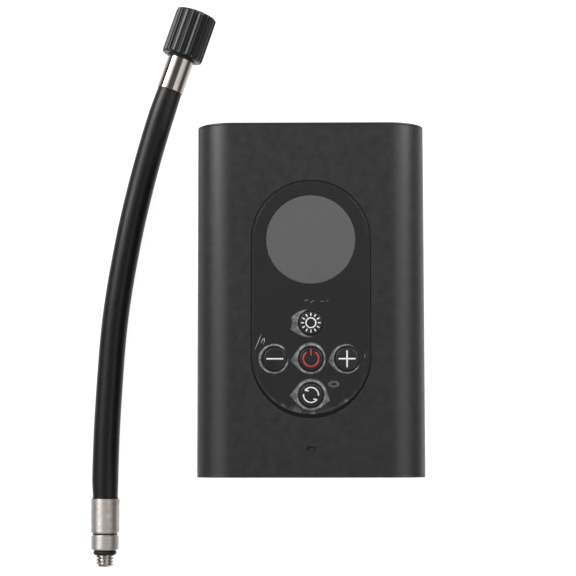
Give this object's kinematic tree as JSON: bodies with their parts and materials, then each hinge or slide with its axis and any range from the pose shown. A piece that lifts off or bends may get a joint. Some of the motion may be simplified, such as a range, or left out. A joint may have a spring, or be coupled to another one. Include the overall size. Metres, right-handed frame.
{
  "type": "cordless air pump",
  "caption": "Pocket-size cordless air pump lying on its back, with a round display and a cross of keys in a capsule-shaped panel, and its detached hose with a screw-on valve chuck.",
  "frame": {"origin": "middle of the pump's back face, which lies on the surface", "axes": "+Z out of the control panel, +Y towards the outlet end, +X to the right of the panel"},
  "size_m": [0.1133, 0.1948, 0.0463],
  "materials": {
    "casing": "fine matte grain",
    "panel_gloss": "glossy black",
    "window_grey": "smoked grey, glossy",
    "clear_film": "clear peel-off film",
    "key_gloss": "glossy black",
    "light_diffuser": "milky translucent",
    "circuit_board": "solder mask",
    "chip_black": "moulded epoxy",
    "screw_steel": "zinc plated",
    "cell_wrap": "shrink wrap",
    "inner_plastic": "glass-filled nylon",
    "white_nylon": "natural nylon",
    "nickel": "satin nickel plate",
    "polished_nickel": "mirror nickel plate",
    "motor_steel": "ground",
    "magnet": "sintered",
    "winding": "enamelled copper",
    "brass": "machined",
    "cast_alloy": "die cast",
    "soft_rubber": "smooth black",
    "hose_rubber": "smooth satin black",
    "knob_plastic": "semi-gloss black"
  },
  "bodies": {
    "root": {"shell_sleeve": "casing", "top_cap": "casing", "bottom_cap": "casing", "case_screws": "screw_steel", "control_panel": "panel_gloss", "display_window": "window_grey", "protective_film": "clear_film", "indicator_lens": "light_diffuser", "display_module": "light_diffuser", "control_board": "circuit_board", "board_chips": "chip_black", "board_screws": "screw_steel", "tact_switches": "screw_steel", "battery_cell_back": "cell_wrap", "battery_cell_front": "cell_wrap", "battery_holder": "inner_plastic", "battery_tabs": "nickel", "motor_can": "motor_steel", "motor_end_bell": "white_nylon", "motor_magnets": "magnet", "motor_leads": "soft_rubber", "motor_screws": "screw_steel", "gear_frame": "cast_alloy", "rubber_mounts": "soft_rubber", "crank_bearing": "motor_steel", "cylinder": "cast_alloy", "head_gasket": "soft_rubber", "cylinder_head": "cast_alloy", "outlet_valve": "soft_rubber", "head_screws": "screw_steel", "air_tubes": "white_nylon", "tee_fitting": "inner_plastic", "pressure_sensor": "chip_black", "outlet_socket": "nickel", "lamp_lens": "light_diffuser", "lamp_board": "circuit_board", "usb_port": "nickel", "usb_board": "circuit_board"},
    "rotor": {"motor_shaft": "motor_steel", "armature": "winding", "commutator": "brass", "pinion": "brass"},
    "crank": {"crank_shaft": "motor_steel", "crank_gear": "white_nylon", "counterweight": "motor_steel", "crank_pin": "motor_steel"},
    "piston": {"piston_rod": "inner_plastic", "rod_bearing": "motor_steel", "piston_seal": "soft_rubber"},
    "light_key": {"button_light": "key_gloss"},
    "minus_key": {"button_minus": "key_gloss"},
    "power_key": {"button_power": "key_gloss"},
    "plus_key": {"button_plus": "key_gloss"},
    "mode_key": {"button_mode": "key_gloss"},
    "hose": {"hose_tube": "hose_rubber", "hose_ferrule": "nickel", "hose_fitting": "nickel", "fitting_o_ring": "soft_rubber", "chuck_ferrule": "polished_nickel"},
    "chuck": {"chuck_knob": "knob_plastic"}
  },
  "joints": [
    {"name": "motor_spin", "type": "hinge", "parent": "root", "child": "rotor", "pos_m": [0.004, -0.027, 0.022], "axis": [0, 1, 0], "continuous": true},
    {"name": "crank_spin", "type": "hinge", "parent": "root", "child": "crank", "pos_m": [0.02, -0.003, 0.022], "axis": [0, 1, 0], "continuous": true},
    {"name": "piston_stroke", "type": "slide", "parent": "root", "child": "piston", "axis": [-1, 0, 0], "range_m": [0, 0.01]},
    {"name": "light_press", "type": "slide", "parent": "root", "child": "light_key", "axis": [0, 0, -1], "range_m": [0, 0.0004], "stiffness_N_per_m": 800, "springref_m": -0.0005},
    {"name": "minus_press", "type": "slide", "parent": "root", "child": "minus_key", "axis": [0, 0, -1], "range_m": [0, 0.0004], "stiffness_N_per_m": 800, "springref_m": -0.0005},
    {"name": "power_press", "type": "slide", "parent": "root", "child": "power_key", "axis": [0, 0, -1], "range_m": [0, 0.0004], "stiffness_N_per_m": 800, "springref_m": -0.0005},
    {"name": "plus_press", "type": "slide", "parent": "root", "child": "plus_key", "axis": [0, 0, -1], "range_m": [0, 0.0004], "stiffness_N_per_m": 800, "springref_m": -0.0005},
    {"name": "mode_press", "type": "slide", "parent": "root", "child": "mode_key", "axis": [0, 0, -1], "range_m": [0, 0.0004], "stiffness_N_per_m": 800, "springref_m": -0.0005},
    {"name": "hose_lift", "type": "slide", "parent": "root", "child": "hose", "axis": [0, 0, 1], "range_m": [0, 0.1]},
    {"name": "chuck_spin", "type": "hinge", "parent": "hose", "child": "chuck", "pos_m": [-0.04464, 0.08984, 0.00715], "axis": [0.3256, 0.9455, 0], "continuous": true}
  ],
  "couplings": [
    {"joint": "crank_spin", "follows": "motor_spin", "ratio": -0.23077}
  ]
}
